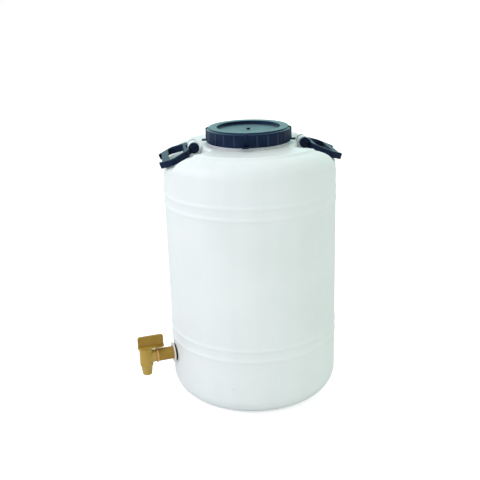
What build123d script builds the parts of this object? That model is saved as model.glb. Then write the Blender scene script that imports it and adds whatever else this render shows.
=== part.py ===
from build123d import *
import os
from math import acos, atan2, cos, degrees, hypot, radians, sin, tan

os.makedirs("parts", exist_ok=True)

# A screw-lid drum of about fifty litres with two swing handles and a plastic barrel tap.
# Millimetres and degrees. The drum's axis is Z, its base stands on Z = 0, and the handles lie along X.

# Drum shell
drum_radius = 185.0
drum_wall = 3.2
base_corner = 45.0
plateau_level = 558.0
plateau_inset = 34.5
plateau_step = 4.3
step_run = 3.0
step_round = 1.5
shoulder_radius = 37.0

# Raised beads round the side, in two pairs
bead_height = 1.6
bead_half_width = 7.0
bead_pitch = 23.7
lower_beads = 146.6
upper_beads = 452.0

# Threaded neck
neck_radius = 83.0
neck_wall = 4.0
neck_height = 30.0
neck_root = 3.0
neck_rim_round = 1.0

# Screw thread of the neck and the lid
thread_pitch = 9.0
thread_depth = 3.0
thread_root_width = 4.2
thread_crest_width = 2.2
thread_gap = 0.7
thread_sink = 0.8
neck_thread_start = 13.5
neck_thread_turns = 1.25
lid_thread_turns = 1.0

# Screw lid and its seal
lid_gap = 6.0
lid_wall = 2.6
lid_top_wall = 3.5
lid_slope_width = 4.8
lid_slope_drop = 4.0
lid_corner_slope = 3.0
lid_edge_round = 0.8
lid_recess_radius = 67.0
lid_recess_depth = 6.0
lid_recess_round = 1.5
lid_disc_wall = 3.0
lid_nib_radius = 4.0
lid_nib_height = 3.0
grip_rib_count = 24
grip_rib_width = 3.4
grip_rib_height = 1.2
grip_rib_margin = 3.0
lug_count = 4
lug_azimuth = -11.0
lug_width = 7.5
lug_height = 1.7
lug_tip_drop = 2.6
lug_tie = 0.5
tab_width = 13.5
tab_reach = 10.5
tab_thickness = 3.0
tab_lift = 0.6
lid_gasket_thickness = 2.5

# Recesses in the shoulder for the handles
pocket_depth = 30.0
pocket_half_width = 92.0
pocket_flare_reach = 122.0
pocket_flare = 40.0
pocket_draft = 30.0
pocket_inner_draft = 20.0
pocket_margin = 10.0
pocket_inner_radius = 100.0
pocket_lip = 20.0
pocket_lip_inset = 18.0
pocket_plan_start = 50.0
pocket_corner = 12.0
pocket_floor_bevel = 6.0

# Handle bosses and hinge pins
pivot_reach = 117.5
pivot_drop = 1.7
boss_radius = 12.0
boss_half_length = 11.0
boss_edge_round = 2.0
pin_radius = 5.0
pin_head_radius = 7.0
pin_head_height = 3.5
pin_dimple_radius = 3.4
pin_dimple_depth = 0.8
pin_edge_round = 1.2
pin_cap_end = 1.2
pin_press = 0.02
pin_running = 0.08
side_gap = 0.4
head_gap = 0.3

# Swing handles
eye_radius = 11.0
eye_thickness = 9.0
arm_thickness = 8.5
tip_height = 12.5
root_drop = 8.5
loop_start_gap = 4.0
loop_spread = 42.0
widest_spread = 65.0
widest_share = 0.63
tip_spread = 47.5
loop_round = 8.0
grip_round = 6.0
handle_overhang = 10.0
crossbar_inset = 4.5
crossbar_width = 15.0
bridge_gap = 3.5
bridge_width = 6.0
rest_gap = 0.4
handle_edge_round = 1.2

# Tap on the drum's side
tap_level = 100.0
tap_azimuth = 191.5
wall_hole_gap = 0.3
inlet_radius = 13.2
inlet_inside = 24.0
inlet_bore = 7.5
outer_gasket_radius = 18.3
outer_gasket_thickness = 4.0
washer_radius = 22.5
washer_thickness = 2.0
hexagon_flats = 27.5
hexagon_length = 35.0
collar_radius = 16.0
collar_width = 3.0
tap_neck_radius = 13.8
tap_neck_length = 8.3
barrel_radius = 14.7
barrel_top = 21.0
barrel_bottom = 19.0
spout_top_radius = 13.0
spout_tip_radius = 10.4
spout_length = 22.5
spout_tip_round = 1.2
spout_bore = 7.5
tap_edge_round = 0.6
plug_seat = 16.0
inner_gasket_radius = 20.0
inner_gasket_thickness = 4.0
nut_flats = 38.0
nut_thickness = 9.0
nut_gap = 0.05

# Plug with its lever
plug_radius = 12.0
plug_running = 0.08
plug_foot_gap = 0.4
plug_bore = 7.0
plug_bore_top = 9.0
plug_port = 6.5
snap_bead = 0.6
snap_level = 17.4
snap_width = 1.6
snap_room = 0.5
ring_section = 2.2
ring_squeeze = 0.05
upper_ring_level = 12.6
lower_ring_level = -11.6
ring_groove_room = 0.3
plate_gap = 0.4
plate_thickness = 3.0
plate_width = 20.0
plate_corner = 9.0
lever_front = 18.0
lever_back = 41.0
blade_height = 25.0
blade_thickness = 5.0
blade_corner = 5.0
blade_inset = 1.0
blade_edge_round = 0.8
blade_rim_width = 3.0
blade_rim_height = 0.6
plate_edge_round = 0.6

# Levels and reaches that follow from the sizes above
plateau_radius = drum_radius - plateau_inset
shoulder_centre = drum_radius - shoulder_radius
step_foot_radius = plateau_radius + step_run
step_foot_level = plateau_level - plateau_step
shoulder_turn = acos((step_foot_radius - shoulder_centre) / shoulder_radius)
shoulder_level = step_foot_level - shoulder_radius * sin(shoulder_turn)
bead_levels = [pair + side * bead_pitch / 2 for pair in (lower_beads, upper_beads) for side in (-1, 1)]
neck_top = plateau_level + neck_height
neck_bore = neck_radius - neck_wall
pocket_floor = plateau_level - pocket_depth
pivot_level = plateau_level - pivot_drop
lip_reach = drum_radius - pocket_lip_inset
lip_level = pocket_floor - pocket_lip
lid_bottom = plateau_level + lid_gap
lid_inner_radius = neck_radius + thread_depth + thread_gap
lid_radius = lid_inner_radius + lid_wall
lid_rim_radius = lid_radius - lid_slope_width
lid_ceiling = neck_top + lid_gasket_thickness
lid_top = lid_ceiling + lid_top_wall
lid_slope_foot = lid_top - lid_slope_drop
lid_disc_top = lid_top - lid_recess_depth
lid_disc_bottom = lid_disc_top - lid_disc_wall
neck_thread_level = plateau_level + neck_thread_start
lid_thread_level = neck_thread_level - thread_pitch / 2
eye_inner = boss_half_length + side_gap
eye_outer = eye_inner + eye_thickness
wall_inner = drum_radius - drum_wall
gasket_face = drum_radius + outer_gasket_thickness
washer_face = gasket_face + washer_thickness
collar_start = washer_face + hexagon_length
tap_neck_start = collar_start + collar_width
spout_reach = tap_neck_start + tap_neck_length + barrel_radius
nut_face = wall_inner - inner_gasket_thickness
inlet_end = drum_radius - inlet_inside
plug_bore_radius = plug_radius + plug_running


def upright(azimuth, level=0.0):
    """Plane through the drum's axis: its x runs outward at this azimuth, its y runs up."""
    outward = Vector(cos(radians(azimuth)), sin(radians(azimuth)), 0)
    return Plane(origin=(0, 0, level), x_dir=outward, z_dir=outward.cross(Vector(0, 0, 1)))


def bead(level):
    """One raised bead of the drum's outline, as four arcs that run into each other."""
    inner, middle, crest = drum_radius, drum_radius + bead_height / 2, drum_radius + bead_height
    foot = (inner, level - bead_half_width)
    rise = TangentArc(foot, (middle, level - bead_half_width / 2), tangent=(0, 1))
    top = TangentArc(rise @ 1, (crest, level), tangent=rise % 1)
    fall = TangentArc(top @ 1, (middle, level + bead_half_width / 2), tangent=top % 1)
    return TangentArc(fall @ 1, (inner, level + bead_half_width), tangent=fall % 1)


def pocket_tool(grow):
    """Body that is cut out for the right handle's recess, or the same body grown by the wall under it."""
    lip_radius = pocket_lip - grow
    lip_side = drum_radius - grow
    lip_turn = acos((lip_side - lip_reach) / lip_radius)
    lip_foot = (lip_side, lip_level + lip_radius * sin(lip_turn))
    lip_top = (lip_reach, pocket_floor - grow)
    lip_half_turn = (lip_turn + radians(90)) / 2
    lip_middle_level = lip_level + lip_radius * sin(lip_half_turn)
    lip_middle = (lip_reach + lip_radius * cos(lip_half_turn), lip_middle_level)
    top = plateau_level + pocket_margin
    inner_slope = tan(radians(pocket_inner_draft))
    inner_top = pocket_inner_radius - pocket_margin * inner_slope - grow
    inner_foot = pocket_inner_radius + (pocket_depth + grow) * inner_slope - grow
    outer = drum_radius + pocket_lip
    flare_run = pocket_flare_reach - pocket_plan_start
    flare_width = pocket_half_width - flare_run * tan(radians(pocket_flare))
    with BuildPart() as tool:
        with BuildSketch(Plane(origin=(0, 0, top), x_dir=(1, 0, 0), z_dir=(0, 0, -1))):
            with BuildLine():
                Polyline(
                    (pocket_plan_start, -flare_width),
                    (pocket_flare_reach, -pocket_half_width),
                    (outer, -pocket_half_width),
                    (outer, pocket_half_width),
                    (pocket_flare_reach, pocket_half_width),
                    (pocket_plan_start, flare_width),
                    close=True,
                )
            make_face()
            offset(
                amount=grow / cos(radians(pocket_draft)) + pocket_margin * tan(radians(pocket_draft)),
                kind=Kind.INTERSECTION,
            )
        extrude(amount=top - lip_foot[1] + pocket_margin, taper=pocket_draft)
        with BuildSketch(Plane.XZ):
            with BuildLine():
                Line((inner_foot, pocket_floor - grow), lip_top)
                ThreePointArc(lip_top, lip_middle, lip_foot)
                Polyline(
                    lip_foot,
                    (outer, lip_foot[1]),
                    (outer, top),
                    (inner_top, top),
                    (inner_foot, pocket_floor - grow),
                )
            make_face()
        revolve(axis=Axis.Z, mode=Mode.INTERSECT)
    return tool.part


def thread_section(root_radius, crest_radius, level):
    """Section of a screw thread: a trapezium that is sunk a little into the wall that carries it."""
    sunk_radius = root_radius - thread_sink if crest_radius > root_radius else root_radius + thread_sink
    with BuildSketch(Plane.XZ) as section:
        with BuildLine():
            Polyline(
                (sunk_radius, level - thread_root_width / 2),
                (root_radius, level - thread_root_width / 2),
                (crest_radius, level - thread_crest_width / 2),
                (crest_radius, level + thread_crest_width / 2),
                (root_radius, level + thread_root_width / 2),
                (sunk_radius, level + thread_root_width / 2),
                close=True,
            )
        make_face()
    return section.sketch


# Handle recess, as the body that is cut out of the shoulder, with its corners rounded
with BuildPart() as pocket:
    add(pocket_tool(0))
    walls = pocket.edges().filter_by(lambda edge: edge.bounding_box().size.Z > pocket_depth)
    corners = walls.filter_by(lambda edge: edge.center().X < pocket_flare_reach + pocket_corner)
    fillet(corners, pocket_corner)
    floor_edges = pocket.faces().filter_by(Axis.Z).group_by(Axis.Z)[-2].edges()
    floor_edges = floor_edges.filter_by(lambda edge: edge.center().X < lip_reach - pocket_floor_bevel)
    chamfer(floor_edges, pocket_floor_bevel)

# Boss that carries a handle's hinge pin
with BuildPart() as boss:
    with BuildSketch(Plane.XZ):
        with Locations((pivot_reach, pivot_level)):
            Circle(boss_radius)
        with Locations((pivot_reach, pocket_floor - drum_wall / 2)):
            Rectangle(2 * boss_radius, drum_wall)
        make_hull()
    extrude(amount=boss_half_length, both=True)
    fillet(boss.faces().filter_by(Axis.Y).edges().group_by(Axis.Z)[-1], boss_edge_round)

# Hollow of the drum, with the recesses and their walls left out
with BuildPart() as hollow:
    with BuildSketch(Plane.XZ):
        ceiling = plateau_level - drum_wall
        inner_shoulder = shoulder_radius - drum_wall
        with BuildLine():
            Line((0, drum_wall), (drum_radius - base_corner, drum_wall))
            TangentArc((drum_radius - base_corner, drum_wall), (wall_inner, base_corner), tangent=(1, 0))
            Line((wall_inner, base_corner), (wall_inner, shoulder_level))
            arch = CenterArc((shoulder_centre, shoulder_level), inner_shoulder, 0, degrees(shoulder_turn))
            Polyline(
                arch @ 1,
                (plateau_radius - drum_wall / 2, ceiling),
                (neck_bore, ceiling),
                (neck_bore, neck_top),
                (0, neck_top),
                (0, drum_wall),
            )
        make_face()
    revolve(axis=Axis.Z)
    grown_pocket = pocket_tool(drum_wall)
    add(grown_pocket, mode=Mode.SUBTRACT)
    mirror(grown_pocket, about=Plane.YZ, mode=Mode.SUBTRACT)

# Thread on the neck
with BuildPart() as neck_thread:
    with BuildLine():
        Helix(thread_pitch, thread_pitch * neck_thread_turns, neck_radius, center=(0, 0, neck_thread_level))
    sweep(thread_section(neck_radius, neck_radius + thread_depth, neck_thread_level), is_frenet=True)

# Drum body: one blow-moulded shell, kept as three solids that meet where its straight side ends
with BuildPart() as drum_body:
    with BuildSketch(Plane.XZ):
        with BuildLine():
            Line((0, 0), (drum_radius - base_corner, 0))
            TangentArc((drum_radius - base_corner, 0), (drum_radius, base_corner), tangent=(1, 0))
            side_foot = Vector(drum_radius, base_corner)
            for level in bead_levels:
                Line(side_foot, (drum_radius, level - bead_half_width))
                side_foot = bead(level) @ 1
            Line(side_foot, (drum_radius, shoulder_level))
            CenterArc((shoulder_centre, shoulder_level), shoulder_radius, 0, degrees(shoulder_turn))
            step_top = (plateau_radius + step_round, plateau_level - step_round)
            Line((step_foot_radius, step_foot_level), step_top)
            CenterArc((plateau_radius, plateau_level - step_round), step_round, 0, 90)
            Line((plateau_radius, plateau_level), (neck_radius + neck_root, plateau_level))
            CenterArc((neck_radius + neck_root, plateau_level + neck_root), neck_root, 270, -90)
            Line((neck_radius, plateau_level + neck_root), (neck_radius, neck_top - neck_rim_round))
            CenterArc((neck_radius - neck_rim_round, neck_top - neck_rim_round), neck_rim_round, 0, 90)
            Polyline((neck_radius - neck_rim_round, neck_top), (0, neck_top), (0, 0))
        make_face()
    revolve(axis=Axis.Z)
    add(pocket.part, mode=Mode.SUBTRACT)
    mirror(pocket.part, about=Plane.YZ, mode=Mode.SUBTRACT)
    add(boss.part)
    mirror(boss.part, about=Plane.YZ)
    add(hollow.part, mode=Mode.SUBTRACT)
    add(neck_thread.part)
    with BuildSketch(Plane.XZ):
        with Locations((pivot_reach, pivot_level), (-pivot_reach, pivot_level)):
            Circle(pin_radius + pin_press)
    extrude(amount=boss_half_length, both=True, mode=Mode.SUBTRACT)
    outward = upright(tap_azimuth).x_dir
    with BuildSketch(Plane(origin=(0, 0, tap_level), x_dir=(0, 0, 1), z_dir=outward)):
        Circle(inlet_radius + wall_hole_gap)
    extrude(amount=drum_radius + bead_height, mode=Mode.SUBTRACT)
    for seam in (base_corner, shoulder_level):
        split(bisect_by=Plane.XY.offset(seam), keep=Keep.BOTH)
drum_body.part.label = "drum_body"
export_step(drum_body.part, "parts/drum_body.step")

# Thread inside the lid, half a pitch below the neck's
with BuildPart() as lid_thread:
    with BuildLine():
        lid_thread_height = thread_pitch * lid_thread_turns
        Helix(thread_pitch, lid_thread_height, lid_inner_radius, center=(0, 0, lid_thread_level))
    lid_thread_crest = lid_inner_radius - thread_depth
    sweep(thread_section(lid_inner_radius, lid_thread_crest, lid_thread_level), is_frenet=True)

# Screw lid: skirt, rim and sunk disc, with grip ribs, lugs and tabs
with BuildPart() as screw_lid:
    with BuildSketch(Plane.XZ) as lid_profile:
        with BuildLine():
            Polyline(
                (lid_inner_radius, lid_bottom),
                (lid_radius, lid_bottom),
                (lid_radius, lid_slope_foot),
                (lid_rim_radius, lid_top),
                (lid_recess_radius, lid_top),
                (lid_recess_radius, lid_disc_top),
                (0, lid_disc_top),
                (0, lid_disc_bottom),
                (lid_recess_radius + lid_wall, lid_disc_bottom),
                (lid_recess_radius + lid_wall, lid_ceiling),
                (lid_inner_radius - lid_corner_slope, lid_ceiling),
                (lid_inner_radius, lid_ceiling - lid_corner_slope),
                (lid_inner_radius, lid_bottom),
            )
        make_face()
        profile_corners = lid_profile.vertices()
        rim_corners = profile_corners.filter_by_position(Axis.X, lid_rim_radius, lid_rim_radius)
        slope_corners = profile_corners.filter_by_position(Axis.Y, lid_slope_foot, lid_slope_foot)
        fillet(rim_corners + slope_corners, lid_edge_round)
        recess_corners = profile_corners.filter_by_position(Axis.X, lid_recess_radius, lid_recess_radius)
        fillet(recess_corners, lid_recess_round)
    revolve(axis=Axis.Z)
    rib_round = ((grip_rib_width / 2) ** 2 + grip_rib_height**2) / (2 * grip_rib_height)
    with BuildSketch(Plane.XY.offset(lid_bottom + grip_rib_margin)):
        rib_centre = lid_radius + grip_rib_height - rib_round
        with PolarLocations(rib_centre, grip_rib_count, start_angle=lug_azimuth):
            Circle(rib_round)
    extrude(amount=lid_slope_foot - grip_rib_margin - lid_bottom - grip_rib_margin)
    lug_turns = [radians(lug_azimuth + 360 * number / lug_count) for number in range(lug_count)]
    lug_planes = [
        Plane(origin=(0, 0, 0), x_dir=(cos(turn), sin(turn), 0), z_dir=(sin(turn), -cos(turn), 0))
        for turn in lug_turns
    ]
    with BuildSketch(*lug_planes):
        Polygon(
            (lid_radius - lid_wall / 2, lid_bottom + tab_lift),
            (lid_radius + lug_height, lid_bottom + tab_lift),
            (lid_radius + lug_height, lid_top - lug_tip_drop),
            (lid_rim_radius - lug_tie, lid_top - lug_tie),
            (lid_radius - lid_wall / 2, lid_slope_foot - lug_tie),
            align=None,
        )
    extrude(amount=lug_width / 2, both=True)
    with BuildSketch(Plane.XY.offset(lid_bottom + tab_lift)):
        with PolarLocations(lid_radius - lid_wall / 2, lug_count, start_angle=lug_azimuth):
            Rectangle(lid_wall / 2 + tab_reach, tab_width, align=(Align.MIN, Align.CENTER))
    extrude(amount=tab_thickness)
    with BuildSketch(Plane.XY.offset(lid_disc_top)):
        Circle(lid_nib_radius)
    extrude(amount=lid_nib_height)
    add(lid_thread.part)
screw_lid.part.label = "screw_lid"
export_step(screw_lid.part, "parts/screw_lid.step")

# Seal ring between the neck's rim and the lid
with BuildPart() as lid_gasket:
    with BuildSketch(Plane.XY.offset(neck_top)):
        Circle(neck_radius)
        Circle(neck_bore, mode=Mode.SUBTRACT)
    extrude(amount=lid_gasket_thickness)
lid_gasket.part.label = "lid_gasket"
export_step(lid_gasket.part, "parts/lid_gasket.step")

# Swing handle: a loop that is widest half way along, sloping down until it all but rests on its recess's lip
handle_length = drum_radius - pivot_reach + handle_overhang
handle_taper = atan2(root_drop - tip_height / 2, handle_length)
pivot_run = lip_reach - pivot_reach
pivot_rise = pivot_level - lip_level
rest_distance = pocket_lip + rest_gap + root_drop * cos(handle_taper)
under_slope = acos(rest_distance / hypot(pivot_run, pivot_rise)) - atan2(pivot_run, pivot_rise)
handle_slope = under_slope + handle_taper
along_handle = Vector(cos(handle_slope), 0, -sin(handle_slope))
tip_reach = pivot_reach + handle_length * along_handle.X
eye_middle = (eye_inner + eye_outer) / 2
bridge_start = pivot_reach + boss_radius + bridge_gap
bridge_end = bridge_start + bridge_width
loop_start = pivot_reach + pin_head_radius + loop_start_gap
crossbar_end = tip_reach - crossbar_inset
crossbar_start = crossbar_end - crossbar_width
widest_reach = pivot_reach + widest_share * (tip_reach - pivot_reach)
loop_end = tip_reach + 2 * tip_height
arm_converge = (widest_spread - tip_spread) / (tip_reach - widest_reach)
loop_end_spread = tip_spread - arm_converge * (loop_end - tip_reach)
loop_half = [(loop_start, loop_spread), (widest_reach, widest_spread), (loop_end, loop_end_spread)]
loop_outline = loop_half + [(reach, -spread) for reach, spread in reversed(loop_half)]
with BuildSketch() as loop_inside:
    Polygon(*loop_outline, align=None)
    offset(amount=-arm_thickness, kind=Kind.INTERSECTION)
# The hole's corners are rounded by a little under half of its length at most
hole_length = crossbar_start - bridge_end
hole_round = min(grip_round, hole_length / 2.2)
with BuildSketch() as grip_hole:
    add(loop_inside.sketch)
    with Locations((bridge_end, 0)):
        Rectangle(
            hole_length,
            2 * widest_spread,
            align=(Align.MIN, Align.CENTER),
            mode=Mode.INTERSECT,
        )
    offset(amount=-hole_round, kind=Kind.INTERSECTION)
    offset(amount=hole_round, kind=Kind.ARC)
with BuildSketch() as tip_notch:
    add(loop_inside.sketch)
    with Locations((crossbar_end, 0)):
        Rectangle(loop_end, 2 * widest_spread, align=(Align.MIN, Align.CENTER), mode=Mode.INTERSECT)
with BuildPart() as right_handle:
    with BuildSketch(Plane(origin=(pivot_reach, 0, pivot_level), x_dir=along_handle, z_dir=(0, -1, 0))):
        Polygon(
            (0, tip_height / 2),
            (handle_length, tip_height / 2),
            (handle_length, -tip_height / 2),
            (0, -root_drop),
            align=None,
        )
    extrude(amount=widest_spread, both=True)
    with BuildSketch(Plane.XY.offset(pocket_floor - pocket_lip)) as handle_plan:
        Polygon(*loop_outline, align=None)
        fillet(handle_plan.vertices().sort_by(Axis.X)[:4], loop_round)
        for side in (-1, 1):
            with Locations((pivot_reach, side * eye_middle)):
                Rectangle(
                    bridge_start + bridge_width / 2 - pivot_reach,
                    arm_thickness,
                    align=(Align.MIN, Align.CENTER),
                )
        with Locations((pivot_reach, 0)):
            Rectangle(
                bridge_start - pivot_reach,
                2 * eye_middle - arm_thickness,
                align=(Align.MIN, Align.CENTER),
                mode=Mode.SUBTRACT,
            )
        add(grip_hole.sketch, mode=Mode.SUBTRACT)
        add(tip_notch.sketch, mode=Mode.SUBTRACT)
    extrude(amount=pivot_level + tip_height - pocket_floor + pocket_lip, mode=Mode.INTERSECT)
    broad_sides = right_handle.faces().sort_by(SortBy.AREA)[-2:]
    fillet(broad_sides.edges(), handle_edge_round)
    for side in (-1, 1):
        with BuildSketch(Plane.XZ.offset(side * eye_inner)):
            with Locations((pivot_reach, pivot_level)):
                Circle(eye_radius)
        extrude(amount=side * eye_thickness)
    with BuildSketch(Plane.XZ):
        with Locations((pivot_reach, pivot_level)):
            Circle(pin_radius + pin_running)
    extrude(amount=eye_outer, both=True, mode=Mode.SUBTRACT)
right_handle.part.label = "right_handle"
export_step(right_handle.part, "parts/right_handle.step")

with BuildPart() as left_handle:
    mirror(right_handle.part, about=Plane.YZ)
left_handle.part.label = "left_handle"
export_step(left_handle.part, "parts/left_handle.step")

# Hinge pin with a dimpled head at the front, and the cap on its far end
pin_axis = Axis((pivot_reach, 0, pivot_level), (0, 1, 0))
head_face = eye_outer + head_gap
pin_end = head_face + pin_head_height - pin_cap_end
with BuildPart() as right_handle_pin:
    with BuildSketch(Plane.XY.offset(pivot_level)):
        with BuildLine():
            Polyline(
                (pivot_reach, pin_dimple_depth - head_face - pin_head_height),
                (pivot_reach + pin_dimple_radius, pin_dimple_depth - head_face - pin_head_height),
                (pivot_reach + pin_dimple_radius, -head_face - pin_head_height),
                (pivot_reach + pin_head_radius - pin_edge_round, -head_face - pin_head_height),
                (pivot_reach + pin_head_radius, pin_edge_round - head_face - pin_head_height),
                (pivot_reach + pin_head_radius, -head_face),
                (pivot_reach + pin_radius, -head_face),
                (pivot_reach + pin_radius, pin_end),
                (pivot_reach, pin_end),
                close=True,
            )
        make_face()
    revolve(axis=pin_axis)
right_handle_pin.part.label = "right_handle_pin"
export_step(right_handle_pin.part, "parts/right_handle_pin.step")

with BuildPart() as right_handle_pin_cap:
    with BuildSketch(Plane.XY.offset(pivot_level)):
        with BuildLine():
            Polyline(
                (pivot_reach, pin_end),
                (pivot_reach + pin_radius + pin_press, pin_end),
                (pivot_reach + pin_radius + pin_press, head_face),
                (pivot_reach + pin_head_radius, head_face),
                (pivot_reach + pin_head_radius, head_face + pin_head_height - pin_edge_round),
                (pivot_reach + pin_head_radius - pin_edge_round, head_face + pin_head_height),
                (pivot_reach, head_face + pin_head_height),
                close=True,
            )
        make_face()
    revolve(axis=pin_axis)
right_handle_pin_cap.part.label = "right_handle_pin_cap"
export_step(right_handle_pin_cap.part, "parts/right_handle_pin_cap.step")

with BuildPart() as left_handle_pin:
    mirror(right_handle_pin.part, about=Plane.YZ)
left_handle_pin.part.label = "left_handle_pin"
export_step(left_handle_pin.part, "parts/left_handle_pin.step")

with BuildPart() as left_handle_pin_cap:
    mirror(right_handle_pin_cap.part, about=Plane.YZ)
left_handle_pin_cap.part.label = "left_handle_pin_cap"
export_step(left_handle_pin_cap.part, "parts/left_handle_pin_cap.step")

# Planes and axes of the tap
tap_section = upright(tap_azimuth, tap_level)
inlet_axis = Axis((0, 0, tap_level), outward)
spout_centre = outward * spout_reach + Vector(0, 0, tap_level)
spout_axis = Axis(spout_centre, (0, 0, 1))


def across(reach):
    """Plane square to the tap's inlet pipe, at this distance from the drum's axis."""
    return Plane(origin=outward * reach + Vector(0, 0, tap_level), x_dir=(0, 0, 1), z_dir=outward)


# Tap body: inlet pipe, hexagon, collar, barrel and tapered spout in one moulding
with BuildPart() as tap_body:
    with BuildSketch(tap_section) as pipe_profile:
        with BuildLine():
            Polyline(
                (inlet_end, 0),
                (inlet_end, inlet_radius),
                (collar_start, inlet_radius),
                (collar_start, collar_radius),
                (tap_neck_start, collar_radius),
                (tap_neck_start, tap_neck_radius),
                (spout_reach, tap_neck_radius),
                (spout_reach, 0),
                close=True,
            )
        make_face()
        fillet(pipe_profile.vertices().group_by(Axis.Y)[-1], tap_edge_round)
    revolve(axis=inlet_axis)
    with BuildSketch(across(washer_face)):
        RegularPolygon(hexagon_flats / 2, 6, major_radius=False)
    extrude(amount=hexagon_length)
    with BuildSketch(tap_section) as barrel_profile:
        with BuildLine():
            Polyline(
                (spout_reach, barrel_top),
                (spout_reach + barrel_radius, barrel_top),
                (spout_reach + barrel_radius, -barrel_bottom),
                (spout_reach + spout_top_radius, -barrel_bottom),
                (spout_reach + spout_tip_radius, spout_tip_round - barrel_bottom - spout_length),
                (spout_reach + spout_tip_radius - spout_tip_round, -barrel_bottom - spout_length),
                (spout_reach, -barrel_bottom - spout_length),
                close=True,
            )
        make_face()
        fillet(barrel_profile.vertices().group_by(Axis.X)[-1], tap_edge_round)
    revolve(axis=spout_axis)
    with BuildSketch(tap_section):
        snap_room_low = snap_level - snap_width / 2 - snap_room
        snap_room_high = snap_level + snap_width / 2 + snap_room
        snap_room_radius = plug_radius + snap_bead + snap_room
        with BuildLine():
            Polyline(
                (spout_reach, barrel_top),
                (spout_reach + plug_bore_radius, barrel_top),
                (spout_reach + plug_bore_radius, snap_room_high),
                (spout_reach + snap_room_radius, snap_room_high),
                (spout_reach + snap_room_radius, snap_room_low),
                (spout_reach + plug_bore_radius, snap_room_low),
                (spout_reach + plug_bore_radius, -plug_seat),
                (spout_reach + spout_bore, -plug_seat),
                (spout_reach + spout_bore, -barrel_bottom - spout_length),
                (spout_reach, -barrel_bottom - spout_length),
                close=True,
            )
        make_face()
    revolve(axis=spout_axis, mode=Mode.SUBTRACT)
    with BuildSketch(across(inlet_end)):
        Circle(inlet_bore)
    extrude(amount=spout_reach - inlet_end, mode=Mode.SUBTRACT)
tap_body.part.label = "tap_body"
export_step(tap_body.part, "parts/tap_body.step")

# Blade of the lever, with a raised rim round each face
lever_level = barrel_top + plate_gap
plate_top = lever_level + plate_thickness
blade_middle = spout_reach + (lever_front - lever_back) / 2
blade_length = lever_front + lever_back - 2 * blade_inset
with BuildPart() as blade:
    with BuildSketch(tap_section) as blade_outline:
        with Locations((blade_middle, plate_top)):
            Rectangle(blade_length, blade_height, align=(Align.CENTER, Align.MIN))
        fillet(blade_outline.vertices().group_by(Axis.Y)[-1], blade_corner)
    extrude(amount=blade_thickness / 2, both=True)
    broad_faces = blade.faces().sort_by(SortBy.AREA)[-2:]
    fillet(broad_faces.edges().group_by(Axis.Z)[1:], blade_edge_round)
    for side in (-1, 1):
        with BuildSketch(tap_section.offset(side * blade_thickness / 2)):
            with Locations((blade_middle, plate_top + blade_rim_width)):
                RectangleRounded(
                    blade_length - 2 * blade_rim_width,
                    blade_height - 2 * blade_rim_width,
                    blade_corner - blade_rim_width,
                    align=(Align.CENTER, Align.MIN),
                )
        extrude(amount=-side * blade_rim_height, mode=Mode.SUBTRACT)

# Plug with its lever: a hollow plug with a side port, a base plate and an upright blade
ring_groove = plug_bore_radius - ring_squeeze - ring_section
with BuildPart() as tap_lever_plug:
    with BuildSketch(tap_section):
        with BuildLine():
            Polyline(
                (spout_reach, lever_level),
                (spout_reach + plug_radius, lever_level),
                (spout_reach + plug_radius, snap_level + snap_width / 2),
                (spout_reach + plug_radius + snap_bead, snap_level + snap_width / 2),
                (spout_reach + plug_radius + snap_bead, snap_level - snap_width / 2),
                (spout_reach + plug_radius, snap_level - snap_width / 2),
                (spout_reach + plug_radius, plug_foot_gap - plug_seat),
                (spout_reach + plug_bore, plug_foot_gap - plug_seat),
                (spout_reach + plug_bore, plug_bore_top),
                (spout_reach, plug_bore_top),
                close=True,
            )
        make_face()
    revolve(axis=spout_axis)
    with BuildSketch(tap_section):
        for level in (upper_ring_level, lower_ring_level):
            with Locations((spout_reach + ring_groove, level)):
                Rectangle(
                    2 * ring_section, ring_section + 2 * ring_groove_room, align=(Align.MIN, Align.CENTER)
                )
    revolve(axis=spout_axis, mode=Mode.SUBTRACT)
    with BuildSketch(across(spout_reach - plug_bore_radius)):
        Circle(plug_port)
    extrude(amount=plug_bore_radius, mode=Mode.SUBTRACT)
    with BuildSketch(Plane(origin=spout_centre + Vector(0, 0, lever_level), x_dir=outward, z_dir=(0, 0, 1))):
        with Locations(((lever_front - lever_back) / 2, 0)):
            RectangleRounded(lever_front + lever_back, plate_width, plate_corner)
    extrude(amount=plate_thickness)
    fillet(tap_lever_plug.faces().sort_by(Axis.Z)[-1].edges(), plate_edge_round)
    add(blade.part)
tap_lever_plug.part.label = "tap_lever_plug"
export_step(tap_lever_plug.part, "parts/tap_lever_plug.step")

# Seals on the plug
for name, level in (("plug_upper_o_ring", upper_ring_level), ("plug_lower_o_ring", lower_ring_level)):
    with BuildPart() as o_ring:
        with BuildSketch(tap_section):
            with Locations((spout_reach + ring_groove + ring_section / 2, level)):
                Circle(ring_section / 2)
        revolve(axis=spout_axis)
    o_ring.part.label = name
    export_step(o_ring.part, f"parts/{name}.step")

# Rings and nut that hold the tap in the drum's wall
with BuildPart() as tap_outer_gasket:
    with BuildSketch(across(wall_inner)):
        Circle(outer_gasket_radius)
        Circle(inlet_radius + wall_hole_gap, mode=Mode.SUBTRACT)
    extrude(amount=gasket_face - wall_inner)
    Cylinder(drum_radius, 2 * plateau_level, mode=Mode.SUBTRACT)
tap_outer_gasket.part.label = "tap_outer_gasket"
export_step(tap_outer_gasket.part, "parts/tap_outer_gasket.step")

with BuildPart() as tap_outer_washer:
    with BuildSketch(across(gasket_face)):
        Circle(washer_radius)
        Circle(inlet_radius + wall_hole_gap, mode=Mode.SUBTRACT)
    extrude(amount=washer_thickness)
tap_outer_washer.part.label = "tap_outer_washer"
export_step(tap_outer_washer.part, "parts/tap_outer_washer.step")

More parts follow.
